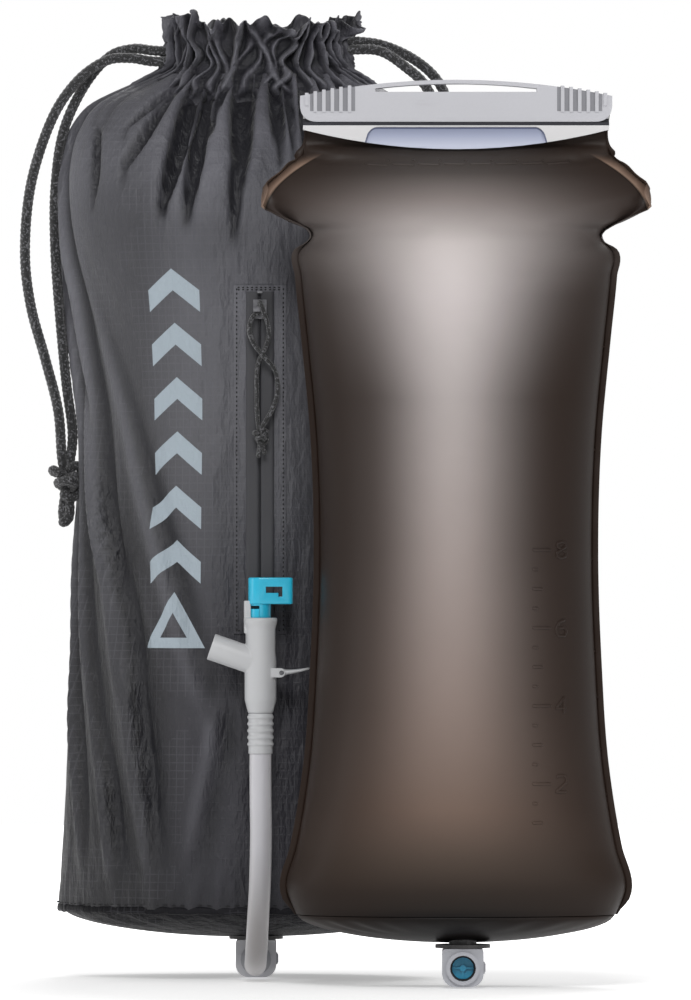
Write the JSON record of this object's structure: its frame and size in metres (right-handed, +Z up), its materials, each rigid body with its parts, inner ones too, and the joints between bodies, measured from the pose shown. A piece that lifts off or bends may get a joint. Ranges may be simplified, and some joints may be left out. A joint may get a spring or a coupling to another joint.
{
  "type": "hydration bladder",
  "caption": "Smoky film water bladder with slide closure and bottom port, beside a drawstring cover holding its twin, with a dispensing hose and spigot plugged in.",
  "frame": {"origin": "centre of the underside of the bare bladder's port housing", "axes": "+Z up along the standing bladder, +X to the closure's closed end, -Y to the front, where the ports open"},
  "size_m": [0.396, 0.3385, 0.604],
  "materials": {
    "film": "smoky translucent satin film",
    "rail": "smooth white moulding",
    "closure": "light grey satin moulding",
    "port": "mid grey satin moulding",
    "valve": "bright blue moulding",
    "seal": "black seal rubber",
    "metal": "plain steel",
    "ripstop": "charcoal coated ripstop nylon",
    "zip": "black woven tape and coil",
    "cord": "black braided cord",
    "hose": "translucent grey tube",
    "spigot": "light grey satin moulding",
    "lock": "cyan moulding"
  },
  "bodies": {
    "bladder": {"front_film_panel": "film", "back_film_panel": "film", "base_film_gusset": "film", "mouth_rail_front": "rail", "mouth_rail_back": "rail", "port_housing": "port", "port_flange": "port", "port_o_ring": "seal", "valve_spring": "metal"},
    "slide_closure": {"slide_closure": "closure"},
    "valve_poppet": {"valve_poppet": "valve"},
    "release_button": {"release_button": "port"},
    "cover": {"covered_bladder_film": "film", "covered_mouth_rail_front": "rail", "covered_mouth_rail_back": "rail", "covered_slide_closure": "closure", "covered_port_housing": "port", "covered_port_flange": "port", "covered_port_o_ring": "seal", "covered_valve_spring": "metal", "cover_fabric": "ripstop", "cover_base": "ripstop", "cover_base_binding": "ripstop", "cover_neck_hem": "ripstop", "drawcord_hem_loop": "cord", "zip_placket": "ripstop", "zip_tape_left": "zip", "zip_tape_right": "zip", "zip_coil_left": "zip", "zip_coil_right": "zip", "zip_top_stop": "metal", "zip_bottom_stop": "metal"},
    "covered_valve_poppet": {"covered_valve_poppet": "valve"},
    "covered_release_button": {"covered_release_button": "port"},
    "zip_slider": {"zip_slider": "metal"},
    "zip_pull_cord": {"zip_pull_cord": "cord"},
    "hose_plug": {"hose_plug": "port"},
    "hose": {"hose": "hose", "spigot_cuff": "spigot", "spigot_body": "spigot", "spigot_lever_pin": "metal"},
    "spigot_lock": {"spigot_lock": "lock", "spigot_lock_o_ring": "seal"},
    "spigot_lever": {"spigot_lever": "spigot"},
    "drawcord_left": {"drawcord_left": "cord"},
    "drawcord_right": {"drawcord_right": "cord"}
  },
  "joints": [
    {"name": "closure_slide", "type": "slide", "parent": "bladder", "child": "slide_closure", "axis": [1, 0, 0], "range_m": [0, 0.2]},
    {"name": "valve_push", "type": "slide", "parent": "bladder", "child": "valve_poppet", "axis": [0, 1, 0], "range_m": [0, 0.0035], "stiffness_N_per_m": 600, "deforming": ["valve_spring"]},
    {"name": "release_press", "type": "slide", "parent": "bladder", "child": "release_button", "axis": [-1, 0, 0], "range_m": [0, 0.0012], "stiffness_N_per_m": 800},
    {"name": "cover_stand_apart", "type": "slide", "parent": "bladder", "child": "cover", "axis": [-1, 0, 0], "range_m": [0, 0.15]},
    {"name": "covered_valve_push", "type": "slide", "parent": "cover", "child": "covered_valve_poppet", "axis": [0, -1, 0], "range_m": [0, 0.0035], "deforming": ["covered_valve_spring"]},
    {"name": "covered_release_press", "type": "slide", "parent": "cover", "child": "covered_release_button", "axis": [-1, 0, 0], "range_m": [0, 0.0012], "stiffness_N_per_m": 800},
    {"name": "zip_run", "type": "slide", "parent": "cover", "child": "zip_slider", "axis": [0, 0, -1], "range_m": [0, 0.18]},
    {"name": "zip_pull_swing", "type": "hinge", "parent": "zip_slider", "child": "zip_pull_cord", "pos_m": [-0.126, 0.08225, 0.42], "axis": [0, 1, 0], "range_deg": [-30, 30]},
    {"name": "plug_pull", "type": "slide", "parent": "cover", "child": "hose_plug", "axis": [0, -1, 0], "range_m": [0, 0.018]},
    {"name": "hose_swivel", "type": "hinge", "parent": "hose_plug", "child": "hose", "pos_m": [-0.1289, 0.147, 0.0115], "axis": [0, 1, 0], "range_deg": [-60, 0]},
    {"name": "lock_push", "type": "slide", "parent": "hose", "child": "spigot_lock", "axis": [0, 0, 1], "range_m": [-0.007, 0]},
    {"name": "lever_press", "type": "hinge", "parent": "hose", "child": "spigot_lever", "pos_m": [-0.1123, 0.065, 0.193], "axis": [0, 1, 0], "range_deg": [0, 20], "stiffness_Nm_per_rad": 0.05},
    {"name": "left_cord_swing", "type": "hinge", "parent": "cover", "child": "drawcord_left", "pos_m": [-0.202, 0.181, 0.58], "axis": [0, 1, 0], "range_deg": [0, 25]},
    {"name": "right_cord_swing", "type": "hinge", "parent": "cover", "child": "drawcord_right", "pos_m": [-0.064, 0.181, 0.587], "axis": [0, 1, 0], "range_deg": [-25, 0]}
  ],
  "couplings": [
    {"joint": "covered_valve_push", "follows": "plug_pull", "ratio": 0.19444}
  ]
}
